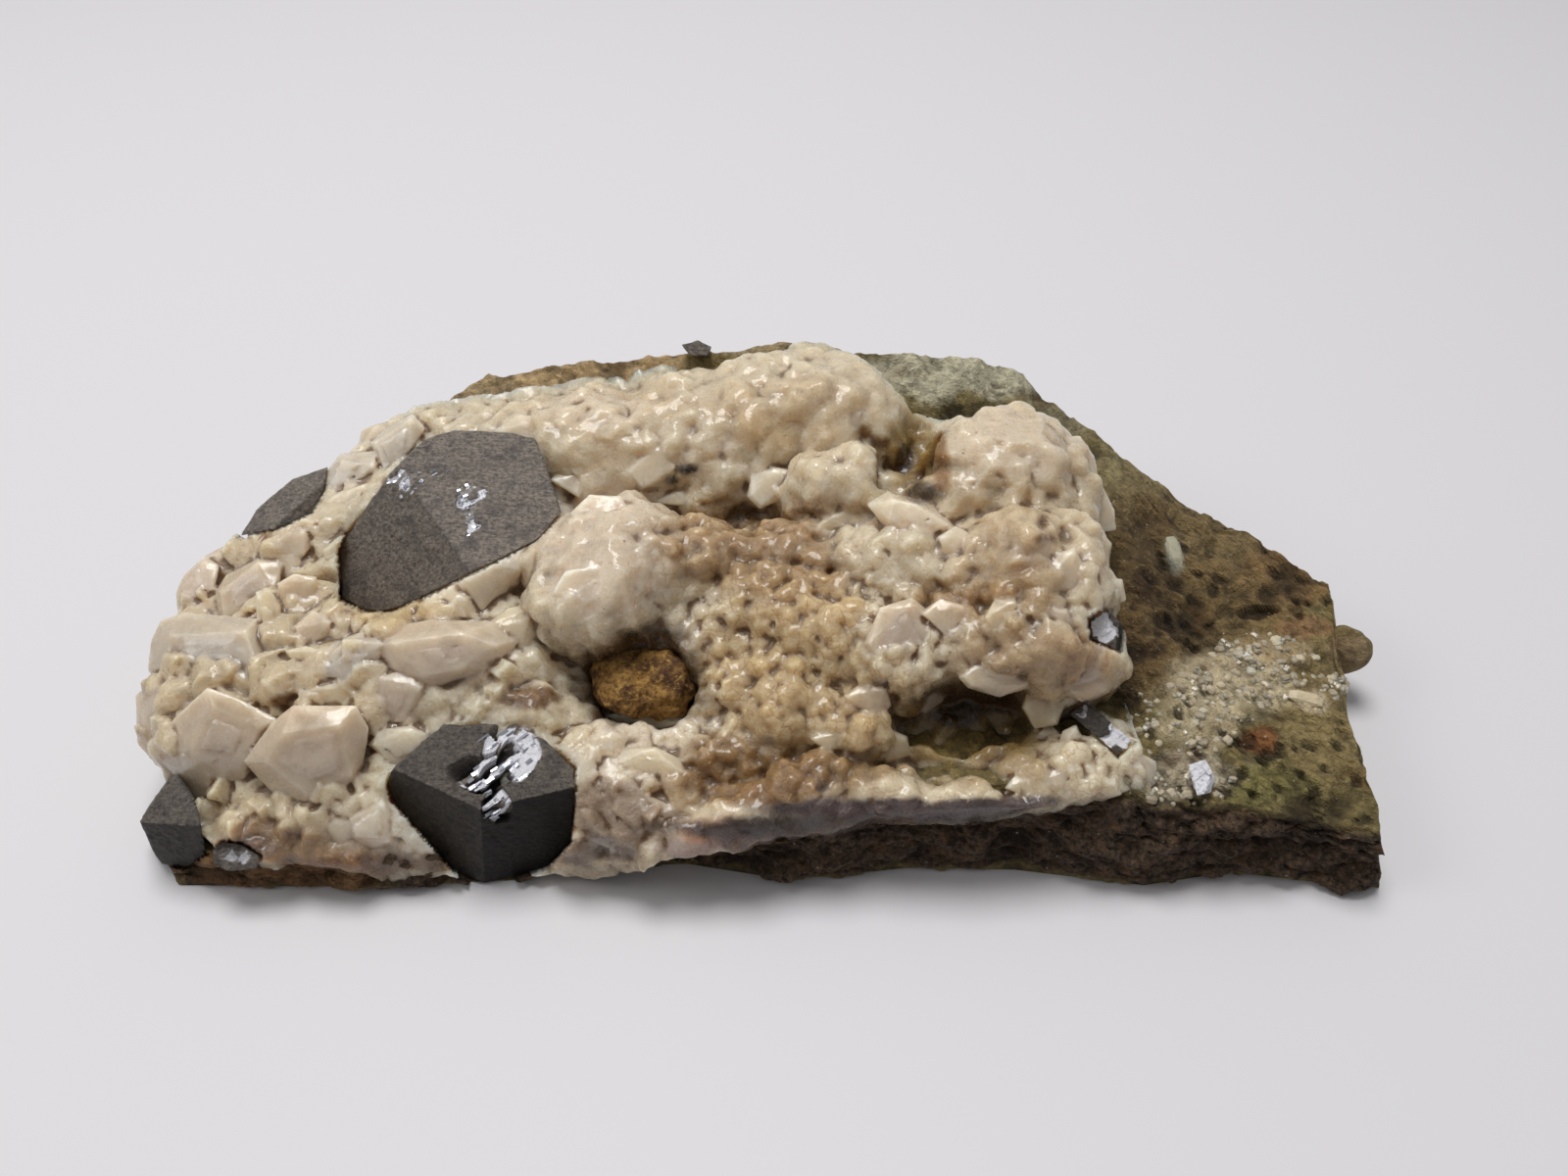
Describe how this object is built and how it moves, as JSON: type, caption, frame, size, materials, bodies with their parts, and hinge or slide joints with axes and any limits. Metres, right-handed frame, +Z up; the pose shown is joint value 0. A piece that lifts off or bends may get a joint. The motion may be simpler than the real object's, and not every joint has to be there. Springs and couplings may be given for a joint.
{
  "type": "galena specimen",
  "caption": "Hand-sized galena specimen: a flat-bottomed slab of olive vein rock under a thick crust of milky crystals, with dull grey galena crystals seated in it.",
  "frame": {"origin": "middle of the bounding box at the level that the rock rests on", "axes": "+X along the longest side, to the right of the display side; +Y to the back; +Z up"},
  "size_m": [0.0942, 0.0442, 0.0227],
  "materials": {
    "rock": "matte",
    "crust": "satin",
    "ochre": "matte",
    "galena": "satin"
  },
  "bodies": {
    "root": {"vein_rock": "rock", "milky_crust": "crust", "ochre_lump": "ochre", "galena_large": "galena", "galena_front": "galena", "galena_corner": "galena", "galena_chip": "galena", "galena_rim": "galena", "galena_cleaved": "galena", "galena_bar": "galena", "galena_bead": "galena", "galena_top": "galena"}
  },
  "joints": []
}
